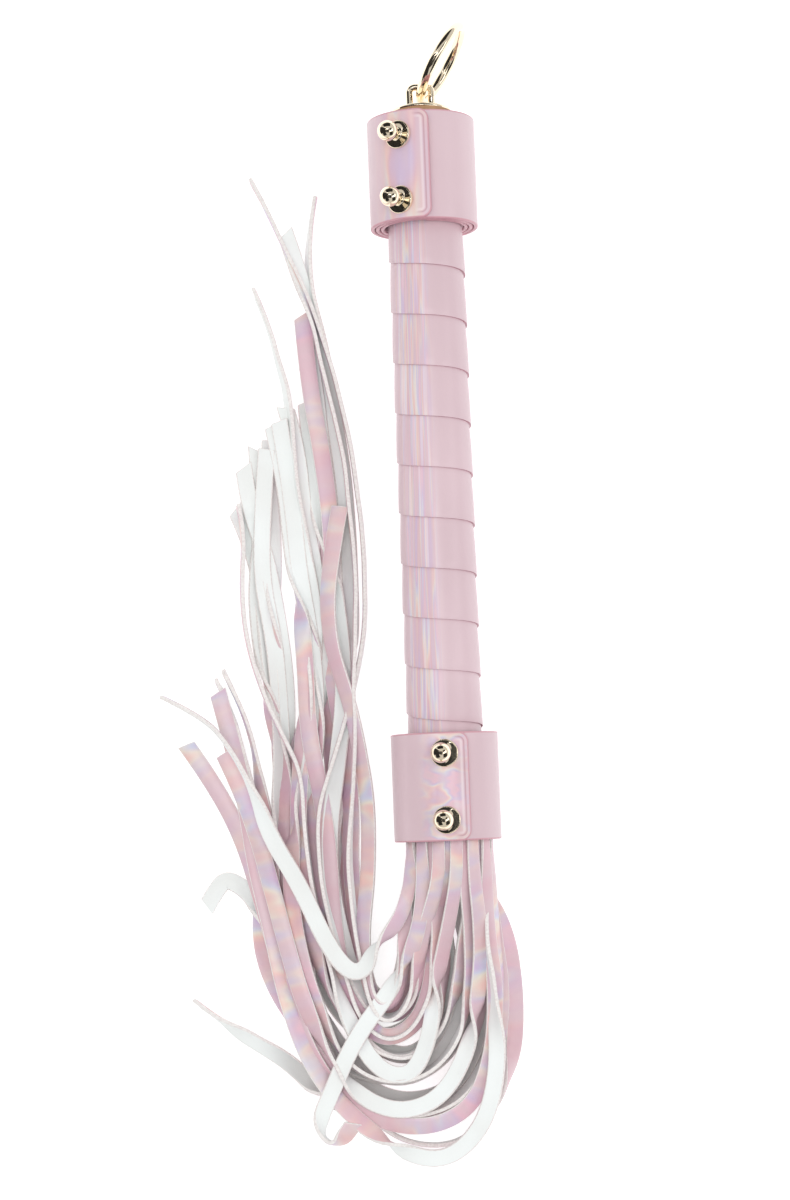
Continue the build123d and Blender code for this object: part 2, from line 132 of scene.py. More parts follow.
# One tail: its number, layer, lane, root (layer of the roll and angle round it from the
# top), twist as (millimetres from the mouth, degrees that the pink face has turned from
# up towards its own left), and route as (across, along) in millimetres from the mouth.
TAILS = [
    (1, 7, -0.5, (OUTER_ROOT, -42),
     [(14, 5), (30, 12), (50, 172), (86, 184), (97, 270), (104, 345)],
     [(-10, -27), (-18, -42), (-30, -57), (-37, -72), (-41, -80), (-40, -86), (-35, -87),
      (-31, -81)]),
    (2, 8, -0.5, (OUTER_ROOT, -68),
     [(14, -10), (24, 20), (42, 165), (88, 188), (112, 262), (143, 268)],
     [(-15, -22), (-23, -30), (-26, -37), (-31, -37), (-37, -28), (-44, -11), (-52, 3), (-56, 16),
      (-63, 30), (-71, 39), (-81, 44)]),
    (3, 6, 0.5, (OUTER_ROOT, 8),
     [(14, 26), (40, 34), (56, 158), (92, 172), (116, 95), (245, 84)],
     [(-2, -27), (-6, -44), (-8, -58), (-14, -69), (-24, -66), (-32, -50), (-37, -31), (-40, -13),
      (-42, 4), (-42, 21), (-47, 32), (-53, 46), (-57, 61), (-58, 76), (-56, 92), (-58, 100)]),
    (4, 6, 1.5, (OUTER_ROOT, 32),
     [(14, 28), (48, 30), (66, 164), (100, 172), (118, 80), (138, 12), (213, 0)],
     [(8, -27), (7, -44), (3, -62), (-5, -75), (-17, -79), (-29, -74), (-38, -61), (-44, -46),
      (-48, -31), (-52, -13), (-56, 4), (-61, 19), (-65, 28)]),
    (5, 6, -0.5, (OUTER_ROOT, -16),
     [(14, 22), (34, 34), (52, 96), (105, 100), (130, 88), (262, 92), (290, 175)],
     [(-9, -27), (-12, -42), (-16, -50), (-21, -52), (-25, -46), (-27, -33), (-29, -17), (-29, 1),
      (-27, 19), (-26, 32), (-26, 45), (-25, 60), (-24, 78), (-25, 98), (-27, 119), (-31, 137),
      (-34, 155), (-38, 170), (-41, 180)]),
    (6, 5, -0.5, (INNER_ROOT, -30),
     [(14, 12), (34, 40), (50, 95), (100, 92), (330, 93)],
     [(-4, -27), (-7, -44), (-13, -55), (-21, -58), (-28, -51), (-32, -37), (-36, -22), (-38, -7),
      (-38, 9), (-33, 24), (-27, 41), (-23, 57), (-21, 75), (-22, 95), (-24, 119), (-30, 146),
      (-38, 170), (-50, 195)]),
    (7, 5, 0.5, (INNER_ROOT, 20),
     [(14, 30), (46, 36), (62, 100), (102, 88), (122, 24), (160, 14), (188, 168), (291, 184)],
     [(5, -27), (5, -44), (0, -60), (-11, -69), (-23, -70), (-33, -63), (-40, -49), (-45, -31),
      (-47, -13), (-45, 5), (-40, 22), (-37, 40), (-38, 61), (-41, 81), (-42, 102), (-45, 125)]),
    (8, 5, 1.5, (OUTER_ROOT, 58),
     [(14, 34), (60, 22), (100, 14), (130, 26), (240, 2)],
     [(10, -27), (12, -44), (10, -64), (4, -78), (-9, -84), (-25, -81), (-37, -71), (-45, -56),
      (-50, -38), (-55, -17), (-60, 2), (-68, 19), (-76, 31)]),
    (9, 4, -0.5, (INNER_ROOT, -5),
     [(14, 24), (38, 40), (54, 98), (80, 140), (100, 174), (190, 190), (205, 352), (271, 360)],
     [(-7, -27), (-10, -42), (-15, -50), (-22, -52), (-27, -44), (-32, -30), (-35, -13), (-35, 4),
      (-32, 22), (-29, 42), (-29, 60), (-31, 78), (-31, 96), (-33, 116), (-36, 137), (-37, 156)]),
    (10, 4, 0.5, (INNER_ROOT, 45),
     [(14, 40), (44, 44), (60, 104), (100, 84), (125, 20), (175, 10), (215, 175), (260, 240),
      (311, 266)],
     [(3, -27), (1, -44), (-5, -56), (-14, -64), (-26, -60), (-35, -48), (-40, -32), (-43, -15),
      (-44, 3), (-43, 19), (-41, 36), (-37, 53), (-37, 72), (-40, 90), (-42, 111), (-42, 132),
      (-45, 143), (-47, 153), (-51, 163)]),
    (11, 4, 1.5, (OUTER_ROOT, 84),
     [(14, 62), (48, 50), (70, 112), (102, 98), (128, 15), (180, 12), (215, 170), (311, 182)],
     [(12, -27), (13, -44), (10, -62), (1, -76), (-14, -81), (-29, -77), (-41, -63), (-48, -47),
      (-51, -29), (-53, -11), (-50, 6), (-48, 24), (-48, 43), (-49, 61), (-52, 79), (-51, 98),
      (-49, 117)]),
    (12, 6.5, 1.5, (INNER_ROOT, 100),
     [(12, 110), (26, 98), (44, 104), (66, 172), (106, 182), (126, 340), (264, 362)],
     [(9, -27), (11, -44), (12, -66), (7, -84), (-5, -94), (-20, -89), (-33, -78), (-43, -64),
      (-49, -46), (-53, -24), (-57, -5), (-59, 13), (-62, 29), (-66, 46)]),
    (13, 3, 0.5, (INNER_ROOT, 70),
     [(14, 50), (48, 40), (68, 84), (105, 98), (130, 15), (195, 10), (225, 170), (295, 178)],
     [(5, -27), (8, -44), (5, -62), (-4, -75), (-17, -78), (-30, -72), (-40, -59), (-45, -43),
      (-48, -23), (-49, -4), (-48, 15), (-46, 33), (-46, 52), (-48, 70), (-51, 88), (-55, 101),
      (-56, 112)]),
    (14, 3, -0.5, (INNER_ROOT, -60),
     [(14, -20), (36, 30), (54, 90), (95, 82), (125, 18), (168, 12), (200, 165), (272, 182)],
     [(-3, -27), (-3, -44), (-6, -57), (-15, -64), (-25, -60), (-33, -46), (-38, -30), (-40, -12),
      (-40, 6), (-39, 24), (-35, 41), (-36, 60), (-36, 80), (-39, 99), (-40, 117), (-43, 129)]),
    (15, 6, -1.5, (OUTER_ROOT, -92),
     [(14, -50), (40, 50), (56, 60), (72, 36), (150, 40), (204, 14)],
     [(-14, -27), (-15, -39), (-18, -47), (-23, -48), (-26, -40), (-26, -25), (-24, -10), (-23, 6),
      (-24, 24), (-28, 43), (-33, 62), (-32, 81), (-28, 99)]),
    (16, 2, 1.5, (OUTER_ROOT, 112),
     [(12, 60), (28, 14), (66, 20), (88, 14), (150, 15), (200, 5), (230, 80), (254, 92)],
     [(12, -27), (14, -44), (12, -62), (4, -78), (-10, -84), (-26, -80), (-38, -69), (-47, -54),
      (-51, -36), (-53, -17), (-53, 2), (-55, 20), (-57, 36), (-64, 52)]),
    (17, 2, 0.5, (INNER_ROOT, 130),
     [(14, 110), (50, 150), (70, 174), (100, 168), (132, 12), (195, 0), (225, 165), (280, 176)],
     [(3, -27), (4, -44), (-1, -59), (-11, -69), (-23, -69), (-34, -61), (-41, -47), (-44, -29),
      (-44, -12), (-45, 6), (-47, 24), (-51, 42), (-53, 58), (-54, 76), (-51, 94), (-52, 117)]),
    (18, 4, -0.5, (INNER_ROOT, -85),
     [(14, -50), (34, 10), (70, 6), (130, 12), (185, 0), (215, 168), (252, 182)],
     [(-5, -27), (-7, -44), (-12, -54), (-21, -58), (-28, -51), (-33, -37), (-35, -19), (-35, -2),
      (-37, 16), (-40, 34), (-40, 53), (-41, 72), (-43, 90), (-44, 108), (-47, 124)]),
    (19, 2, -1.5, (OUTER_ROOT, -112),
     [(14, -80), (38, 10), (90, 20), (124, 15), (150, 8), (172, 172), (254, 182)],
     [(-12, -27), (-14, -40), (-17, -48), (-23, -49), (-26, -40), (-28, -24), (-29, -6), (-28, 11),
      (-29, 29), (-32, 46), (-32, 63), (-31, 81), (-31, 100), (-33, 119), (-34, 134), (-36, 149)]),
    (20, 1, 1.5, (OUTER_ROOT, 138),
     [(12, 80), (28, 22), (60, 16), (80, 94), (110, 88), (150, 80), (190, 30), (230, 70), (254, 90)],
     [(16, -27), (18, -44), (17, -64), (11, -80), (-1, -90), (-15, -89), (-27, -81), (-38, -69),
      (-47, -54), (-54, -41), (-57, -26), (-55, -10), (-56, 7), (-58, 23), (-61, 37), (-66, 49)]),
    (21, 1, 0.5, (INNER_ROOT, 158),
     [(14, 130), (46, 166), (100, 160), (132, 10), (200, 5), (235, 150), (267, 178)],
     [(7, -27), (9, -44), (6, -62), (-2, -74), (-16, -77), (-29, -71), (-38, -58), (-44, -41),
      (-47, -22), (-48, -3), (-48, 17), (-49, 34), (-51, 54), (-52, 73), (-54, 88), (-59, 100)]),
    (22, 1, -0.5, (INNER_ROOT, 205),
     [(14, 160), (44, 168), (100, 174), (136, 10), (190, 5), (220, 170), (282, 180)],
     [(-2, -27), (-1, -44), (-5, -57), (-14, -64), (-24, -60), (-32, -47), (-36, -30), (-38, -10),
      (-39, 9), (-39, 28), (-37, 46), (-37, 66), (-39, 84), (-40, 105), (-42, 122)]),
    (23, 1, -1.5, (INNER_ROOT, -115),
     [(14, -90), (40, -10), (90, 10), (128, 20), (150, 30), (176, 172), (240, 182), (275, 250),
      (302, 268)],
     [(-11, -27), (-12, -42), (-15, -50), (-21, -51), (-26, -43), (-28, -27), (-30, -8), (-31, 12),
      (-30, 31), (-27, 50), (-26, 70), (-26, 91), (-27, 112), (-30, 133), (-33, 152), (-35, 169),
      (-34, 180), (-32, 191)]),
    (24, 0, 1.5, (OUTER_ROOT, 165),
     [(14, 140), (50, 176), (92, 166), (118, 10), (135, 178), (152, 210), (166, 262)],
     [(11, -27), (13, -44), (10, -64), (1, -79), (-15, -83), (-29, -79), (-40, -74), (-49, -64),
      (-60, -57), (-69, -51), (-76, -45)]),
    (25, 0, 0.5, (OUTER_ROOT, 190),
     [(14, 150), (50, 164), (92, 150), (126, 5), (146, 96), (156, 170), (175, 185)],
     [(4, -27), (5, -44), (0, -60), (-11, -69), (-24, -69), (-37, -63), (-46, -52), (-51, -38),
      (-55, -23), (-58, -15), (-62, -11), (-66, -9), (-69, -12), (-72, -17)]),
    (26, 0, -0.5, (OUTER_ROOT, 212),
     [(14, 170), (48, 176), (90, 166), (120, 5), (180, 0), (215, 165), (253, 180)],
     [(-5, -27), (-7, -44), (-12, -54), (-21, -58), (-31, -54), (-38, -43), (-42, -25), (-43, -6),
      (-43, 13), (-46, 31), (-48, 49), (-49, 70), (-48, 90), (-49, 107), (-48, 120)]),
    (27, 0, -1.5, (OUTER_ROOT, 235),
     [(14, 190), (44, 184), (90, 170), (120, 20), (170, 0), (205, 170), (232, 180)],
     [(-13, -27), (-15, -39), (-18, -46), (-24, -46), (-28, -36), (-30, -18), (-31, 0), (-33, 19),
      (-34, 38), (-33, 57), (-33, 75), (-34, 94), (-36, 114), (-37, 131)]),
]


# ---- Shader kit ----
def ink(red, green, blue):
    """A colour from its 0 to 255 screen values."""
    def linear(value):
        value /= 255
        return value / 12.92 if value <= 0.04045 else ((value + 0.055) / 1.055) ** 2.4
    return (linear(red), linear(green), linear(blue), 1.0)


class Socket:
    """An output of a shader node that takes part in sums."""

    def __init__(self, finish, output):
        self.finish = finish
        self.output = output

    def maths(self, operation, *values):
        sockets = dict(enumerate(values))
        return self.finish.add("ShaderNodeMath", {"operation": operation}, sockets)[0]

    def __add__(self, other):
        return self.maths("ADD", self, other)

    def __radd__(self, other):
        return self.maths("ADD", other, self)

    def __sub__(self, other):
        return self.maths("SUBTRACT", self, other)

    def __rsub__(self, other):
        return self.maths("SUBTRACT", other, self)

    def __mul__(self, other):
        return self.maths("MULTIPLY", self, other)

    def __rmul__(self, other):
        return self.maths("MULTIPLY", other, self)

    def __truediv__(self, other):
        return self.maths("DIVIDE", self, other)

    def __rtruediv__(self, other):
        return self.maths("DIVIDE", other, self)

    def floor(self):
        return self.maths("FLOOR", self)

    def root(self):
        return self.maths("SQRT", self)

    def sine(self):
        return self.maths("SINE", self)

    def at_least(self, low):
        return self.maths("MAXIMUM", self, low)

    def step(self, low, high):
        """0 below low, 1 above high and smooth between them."""
        sockets = {"Value": self, "From Min": low, "From Max": high}
        return self.finish.add("ShaderNodeMapRange", {"interpolation_type": "SMOOTHSTEP"},
                               sockets)[0]

    def band(self, start, full, waning, end):
        """0 outside start and end, 1 from full to waning and smooth between them."""
        return self.step(start, full) * (1 - self.step(waning, end))


class Finish:
    """A material whose nodes are added one by one to a Principled shader."""

    def __init__(self, name, **constants):
        self.material = bpy.data.materials.new(name)
        self.material.use_nodes = True
        self.tree = self.material.node_tree
        self.shader = self.tree.nodes["Principled BSDF"]
        self.feed(**constants)

    def fill(self, node, sockets):
        for key, value in sockets.items():
            if isinstance(value, Socket):
                self.tree.links.new(value.output, node.inputs[key])
            else:
                node.inputs[key].default_value = value

    def add(self, kind, settings, sockets):
        """A new node's outputs, with its settings made before its sockets."""
        node = self.tree.nodes.new(kind)
        for key, value in settings.items():
            if key == "stops":
                elements = node.color_ramp.elements
                for place, colour in value[2:]:
                    elements.new(place)
                for element, (place, colour) in zip(elements, value):
                    element.position = place
                    element.color = colour
            else:
                setattr(node, key, value)
        self.fill(node, sockets)
        return [Socket(self, output) for output in node.outputs]

    def feed(self, **sockets):
        self.fill(self.shader, {k.replace("_", " "): v for k, v in sockets.items()})

    def place(self):
        """Object coordinates, as a vector and as x, y and z."""
        vector = self.add("ShaderNodeTexCoord", {}, {})[3]
        return [vector] + self.add("ShaderNodeSeparateXYZ", {}, {0: vector})

    def chart(self, name):
        """The two coordinates of a UV map."""
        uv = self.add("ShaderNodeUVMap", {"uv_map": name}, {})[0]
        return self.add("ShaderNodeSeparateXYZ", {}, {0: uv})[:2]

    def vector(self, x, y, z=0.0):
        return self.add("ShaderNodeCombineXYZ", {}, {0: x, 1: y, 2: z})[0]

    def cloud(self, vector, scale, detail=2.0, roughness=0.5):
        sockets = {"Vector": vector, "Scale": scale, "Detail": detail, "Roughness": roughness}
        return self.add("ShaderNodeTexNoise", {}, sockets)[0]

    def mix(self, mask, first, second):
        return self.add("ShaderNodeMix", {"data_type": "RGBA"}, {0: mask, 6: first, 7: second})[2]

    def ramp(self, value, stops):
        return self.add("ShaderNodeValToRGB", {"stops": stops}, {0: value})[0]

    def bump(self, height, distance, strength):
        sockets = {"Height": height, "Distance": distance, "Strength": strength}
        self.feed(Normal=self.add("ShaderNodeBump", {}, sockets)[0])


# ---- Finishes ----
PINK = ink(219, 193, 200)
DUSTY = ink(213, 187, 194)
ROSE = ink(222, 180, 190)
LILAC = ink(205, 184, 216)
HAZE = ink(206, 208, 226)
CREAM = ink(232, 222, 208)
PEACH = ink(238, 198, 188)
BLUSH = ink(232, 188, 204)
PALE = ink(236, 226, 232)
HOLOGRAM = [(0.0, PINK), (0.2, BLUSH), (0.33, LILAC), (0.45, HAZE), (0.55, CREAM),
            (0.66, PEACH), (0.8, ROSE), (1.0, LILAC)]
# Painted shade: the pink face is painted darker down in the heap of tails, where shade falls.
SHADED_PINK = ink(178, 134, 148)            # down in the heap of tails
SUEDE, DULL_SUEDE = ink(243, 247, 246), ink(236, 238, 236)
# Painted shade: the backing is painted darker down in the heap of tails, where shade falls.
SHADED_SUEDE = ink(168, 162, 160)
CUT, WORN_CUT = ink(240, 237, 234), ink(228, 221, 219)
STRAP_EDGE, WORN_STRAP_EDGE = ink(206, 150, 162), ink(196, 138, 152)
GRIP_EDGE, WORN_GRIP_EDGE = ink(176, 116, 132), ink(190, 132, 146)
# Painted shade of a creased line, and a painted glint beside it
CREASE_SHADE, PAINTED_GLINT = ink(190, 146, 156), ink(240, 226, 228)
GOLD, WORN_GOLD = (1.0, 0.88, 0.69, 1.0), (0.98, 0.84, 0.63, 1.0)
PALE_WOOD, DARK_WOOD = ink(196, 160, 118), ink(160, 120, 82)
STEEL = ink(190, 190, 192)
WHITE = (1.0, 1.0, 1.0, 1.0)
FLOOR_GREY = (0.7, 0.7, 0.7, 1.0)
BLACK = (0.01, 0.01, 0.01, 1.0)

# Where the heap of tails round the bend lies, in which the tails get painted shade: from side to
# side, up towards the tips, and in height. Then where the faces of the tails are worn near the
# mouth.
HEAP_ACROSS = (-60 * MM, -46 * MM, 6 * MM, 14 * MM)
HEAP_TOP = (MOUTH + 5 * MM, MOUTH + 70 * MM)
HEAP_HEIGHT = (2.5 * MM, 10 * MM)
WORN_ALONG = (MOUTH - 62 * MM, MOUTH - 46 * MM, MOUTH - 34 * MM, MOUTH - 18 * MM)

# The painted sheen of the grip and collars: their foil colours show only between angles round the
# handle, painted on one side.
SHEEN_FADE = 12             # degrees on each side of a shimmer's two ends
GRIP_SHEEN = (-58, -6)      # degrees round the handle from the top
SHEEN_GAP = 5               # and between the end of a collar's shimmer and its free end
GRIP_SWIRL = (9.0, 14.0)


def leather(name):
    return Finish(name, Base_Color=PINK, Roughness=0.42, Coat_Weight=0.35,
                  Coat_Roughness=0.22, Specular_IOR_Level=0.4)


def heap_shade(x, y, z):
    """How much painted shade a tail gets: 1 deep in the heap of tails round the bend, 0 on top of it
    and where it thins out.
    """
    return (1 - z.step(*HEAP_HEIGHT)) * x.band(*HEAP_ACROSS) * (1 - y.step(*HEAP_TOP))


def tail_face():
    """Pink foil leather whose colours shift in bands across a strip."""
    finish = leather("tail_pink_foil")
    far, across = finish.chart("length")
    vector, x, y, z = finish.place()
    bands = finish.cloud(finish.vector(far, across * 0.35), 70.0, detail=3.0, roughness=0.6)
    hue = finish.cloud(finish.vector(far * 0.6, across * 0.3, 4.0), 55.0, detail=3.0,
                       roughness=0.65)
    zone = finish.cloud(finish.vector(far, 0.0, 9.0), 16.0, detail=1.0)
    mask = bands.step(0.36, 0.62) * zone.step(0.38, 0.6)
    colour = finish.ramp(hue.step(0.26, 0.74), HOLOGRAM)
    plain = finish.mix(bands.step(0.3, 0.8), PINK, ROSE)
    skin = finish.mix(mask, plain, colour)
    # Painted shade: the face is painted darker deep in the heap of tails.
    finish.feed(Base_Color=finish.mix(heap_shade(x, y, z) * 0.5, skin, SHADED_PINK))
    grain = finish.cloud(vector, 900.0)
    creases = finish.cloud(finish.vector(far, across * 0.5, 2.0), 260.0)
    finish.bump(grain * 0.25 + creases * (0.6 + y.band(*WORN_ALONG)), 0.45 * MM, 0.6)
    return finish.material


def tail_back():
    """The off-white brushed backing of the tails."""
    finish = Finish("tail_white_suede", Roughness=0.92, Specular_IOR_Level=0.2,
                    Sheen_Weight=0.25, Sheen_Roughness=0.5)
    vector, x, y, z = finish.place()
    tone = finish.cloud(vector, 45.0)
    skin = finish.mix(tone.step(0.3, 0.7), SUEDE, DULL_SUEDE)
    # Painted shade: the backing is painted darker deep in the heap of tails.
    finish.feed(Base_Color=finish.mix(heap_shade(x, y, z) * 0.5, skin, SHADED_SUEDE))
    nap = finish.cloud(vector, 700.0, detail=4.0, roughness=0.7)
    finish.bump(nap, 0.2 * MM, 0.5)
    return finish.material


def tail_edge():
    """The cut edges of the tails, where the pale backing shows."""
    finish = Finish("tail_cut_edge", Roughness=0.8, Specular_IOR_Level=0.2)
    threads = finish.cloud(finish.place()[0], 1500.0, detail=3.0)
    finish.feed(Base_Color=finish.mix(threads.step(0.35, 0.7), CUT, WORN_CUT))
    finish.bump(threads, 0.05 * MM, 0.3)
    return finish.material


def streaked(name, painted_sheen, swirl, turns=False):
    """Pink foil leather with a painted sheen between two angles round the handle, its foil colours
    and pale streaks laid on that side only: in lengthwise streaks that break at each turn of the
    grip, or in soft clouds on a collar."""
    finish = leather(name)
    vector, x, y, z = finish.place()
    angle = finish.add("ShaderNodeMath", {"operation": "ARCTAN2"}, {0: x, 1: z - AXIS})[0]
    low, high, fade = (radians(value) for value in (*painted_sheen, SHEEN_FADE))
    # Painted sheen: the foil's colours show only on this side of the handle.
    zone = angle.band(low - fade, low + fade, high - fade, high + fade)
    far = 0.0
    if turns:
        slack = angle.sine() * WRAP_SLACK + (1 - (angle + pi / 2).sine()) * WRAP_BOW
        wound = (y - WRAP_FOOT) / WRAP_PITCH + angle / (2 * pi) - slack
        far = wound.floor() * 0.9
    around, along = swirl
    streaks = finish.cloud(finish.vector(angle * around, y * along, far), 1.0, detail=1.5)
    hue = finish.cloud(finish.vector(angle * around * 0.6, y * along * 1.5, far + 5.0), 1.0)
    colour = finish.ramp(hue.step(0.28, 0.72), HOLOGRAM)
    # Pale painted streaks of sheen in the foil colours
    light = finish.mix(streaks.step(0.5, 0.66) * 0.6, colour, PALE)
    tone = finish.cloud(vector, 30.0)
    plain = finish.mix(tone.step(0.3, 0.7), PINK, DUSTY)
    mask = zone * (0.25 + streaks.step(0.36, 0.56) * 0.55)
    skin = finish.mix(mask, plain, light)
    if not turns:
        skin = strap_border(finish, skin)
    finish.feed(Base_Color=skin)
    finish.bump(finish.cloud(vector, 1100.0), 0.08 * MM, 0.35)
    return finish.material


def strap_border(finish, skin):
    """Paint that laps over a strap's edges, and the painted shade of a line creased along its free
    end, with a painted glint beside it.
    """
    end, edge = finish.chart("border")
    past_end = (FLAP_CORNER - end).at_least(0.0)
    past_edge = (FLAP_CORNER - edge).at_least(0.0)
    inside = FLAP_CORNER - (past_end * past_end + past_edge * past_edge).root()
    near_end = 1 - end.step(*CREASE_END)
    skin = finish.mix((1 - inside.step(*PAINT_END)) * 0.85, skin, STRAP_EDGE)
    # Painted shade along the creased line
    skin = finish.mix(inside.band(*CREASE) * near_end * 0.7, skin, CREASE_SHADE)
    # Painted glint beside the creased line
    return finish.mix(inside.band(*GLINT) * near_end * 0.5, skin, PAINTED_GLINT)


def painted_edge(name, colour, worn):
    """The sealed edge of a strap, a deeper pink than its face."""
    finish = Finish(name, Roughness=0.4, Coat_Weight=0.3, Coat_Roughness=0.3)
    wear = finish.cloud(finish.place()[0], 260.0, detail=3.0)
    finish.feed(Base_Color=finish.mix(wear.step(0.35, 0.7), colour, worn))
    finish.bump(wear, 0.1 * MM, 0.4)
    return finish.material


def gold():
    """Polished pale gold plating."""
    finish = Finish("polished_gold", Metallic=1.0, Specular_IOR_Level=0.5)
    wear = finish.cloud(finish.place()[0], 420.0, detail=3.0)
    finish.feed(Base_Color=finish.mix(wear.step(0.3, 0.7), GOLD, WORN_GOLD),
                Roughness=0.03 + wear * 0.04)
    return finish.material


def wood():
    """The turned wooden core."""
    finish = Finish("turned_wood", Roughness=0.6)
    x, y, z = finish.place()[1:]
    rings = finish.cloud(finish.vector(x * 400, y * 12, z * 400), 1.0, detail=3.0)
    finish.feed(Base_Color=finish.mix(rings, PALE_WOOD, DARK_WOOD))
    finish.bump(rings, 0.1 * MM, 0.3)
    return finish.material


def steel():
    """Plain steel of the hidden screws and nails."""
    finish = Finish("plain_steel", Metallic=1.0, Base_Color=STEEL)
    brushing = finish.cloud(finish.place()[0], 1400.0)
    finish.feed(Roughness=0.3 + brushing * 0.15)
    return finish.material


# ---- Mesh kit ----
def link_mesh(name, bm, materials):
    """A finished bmesh as an object in the scene."""
    mesh = bpy.data.meshes.new(name)
    bm.to_mesh(mesh)
    bm.free()
    for material in materials:
        mesh.materials.append(material)
    thing = bpy.data.objects.new(name, mesh)
    bpy.context.scene.collection.objects.link(thing)
    return thing


def piece(name, bm, materials, body="whip"):
    """A finished bmesh as a smooth piece that rides on a body."""
    for face in bm.faces:
        face.smooth = True
    thing = link_mesh(name, bm, materials)
    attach(thing, body)
    return thing


def thicken(thing, thickness, corner, rim, back=0, rounding=-1, segments=2):
    """A sheet's thickness and the rounding of its edges, with the materials of its edges,
    its back and its rounding."""
    wall = thing.modifiers.new("thickness", "SOLIDIFY")
    wall.thickness = thickness
    wall.offset = 0
    wall.use_even_offset = False
    wall.material_offset = back
    wall.material_offset_rim = rim
    edge = thing.modifiers.new("edges", "BEVEL")
    edge.width = corner
    edge.segments = segments
    edge.limit_method = "ANGLE"
    edge.angle_limit = radians(50)
    edge.material = rounding


def cut(bm, spot, way, clear_outer=False):
    """Cuts all of a mesh with a plane, and may drop what lies past it."""
    bmesh.ops.bisect_plane(bm, geom=bm.verts[:] + bm.edges[:] + bm.faces[:], dist=1e-7,
                           plane_co=spot, plane_no=way, clear_outer=clear_outer)


def merge(bm, verts):
    bmesh.ops.remove_doubles(bm, verts=verts, dist=1e-6)


def spun(bm, profile, place, steps=48):
    """Adds a turned solid: a profile of (radius, height), spun round the place's Z."""
    verts = [bm.verts.new((r, 0, h)) for r, h in profile]
    edges = [bm.edges.new(pair) for pair in zip(verts, verts[1:])]
    bmesh.ops.spin(bm, geom=verts + edges, cent=(0, 0, 0), axis=(0, 0, 1), angle=2 * pi,
                   steps=steps, use_merge=True, use_duplicate=False)
    merge(bm, [v for v in bm.verts if not v.tag])
    new = [v for v in bm.verts if not v.tag]
    bmesh.ops.transform(bm, matrix=place, verts=new)
    for vert in new:
        vert.tag = True


def bow(centre, radius, start, end, steps):
    """Points of an arc in a profile, from one angle to another in degrees."""
    angles = [radians(start + (end - start) * i / steps) for i in range(steps + 1)]
    return [(centre[0] + radius * cos(a), centre[1] + radius * sin(a)) for a in angles]


def facing(origin, normal):
    """A place whose Z is a given direction."""
    turn = Vector((0, 0, 1)).rotation_difference(Vector(normal))
    return Matrix.Translation(origin) @ turn.to_matrix().to_4x4()


# ---- The tails ----
def turned_at(keys, distance):
    """The twist at a distance, eased between the keys on both sides of it."""
    before = keys[0]
    for key in keys:
        if key[0] >= distance:
            if key[0] == before[0]:
                return key[1]
            share = (distance - before[0]) / (key[0] - before[0])
            share = share * share * (3 - 2 * share)
            return before[1] + (key[1] - before[1]) * share
        before = key
    return before[1]


def smooth_line(points):
    """The stations of a smooth line that starts and ends at the first and last point."""
    curve = bpy.data.curves.new("guide", "CURVE")
    curve.dimensions = "3D"
    curve.resolution_u = 8
    spline = curve.splines.new("NURBS")
    spline.points.add(len(points) - 1)
    for knot, point in zip(spline.points, points):
        knot.co = (*point, 1)
    spline.order_u = 3
    spline.use_endpoint_u = True
    guide = bpy.data.objects.new("guide", curve)
    mesh = bpy.data.meshes.new_from_object(guide)
    line = [v.co.copy() for v in mesh.vertices]
    bpy.data.objects.remove(guide)
    bpy.data.curves.remove(curve)
    bpy.data.meshes.remove(mesh)
    return line


def tail_line(level, lane, root, keys, route):
    """The line of a tail through its route, from the rolled root to its tip."""
    middle = (LEVELS - 1) / 2
    high = AXIS + (level - middle) * MOUTH_LEVEL_PITCH
    low = TABLE_CLEARANCE + STRIP_THICKNESS / 2 + level * TABLE_LEVEL_PITCH
    radius, angle = root[0], radians(root[1])
    start = Vector((radius * sin(angle), MOUTH + ROOT_INSET, AXIS + radius * cos(angle)))
    points = [start, start + Vector((0, -DROP_START, 0))]
    gone, before = 0, Vector((lane * LANE_PITCH, MOUTH - DROP_START))
    travelled = DROP_START
    for across, back in route:
        spot = Vector((across * MM, MOUTH + back * MM))
        step = (spot - before).length
        gone += step
        travelled += step
        before = spot
        height = high + (low - high) * min(1, gone / DROP_LENGTH)
        height -= level * TIP_SINK * max(0, min(1, (gone - SINK_START) / SINK_LENGTH))
        turned = radians(turned_at(keys, travelled / MM))
        room = abs(sin(turned)) * STRIP_WIDTH / 2 + abs(cos(turned)) * STRIP_THICKNESS / 2
        points.append(Vector((spot.x, spot.y, max(height, room + TABLE_CLEARANCE))))
    return smooth_line(points)


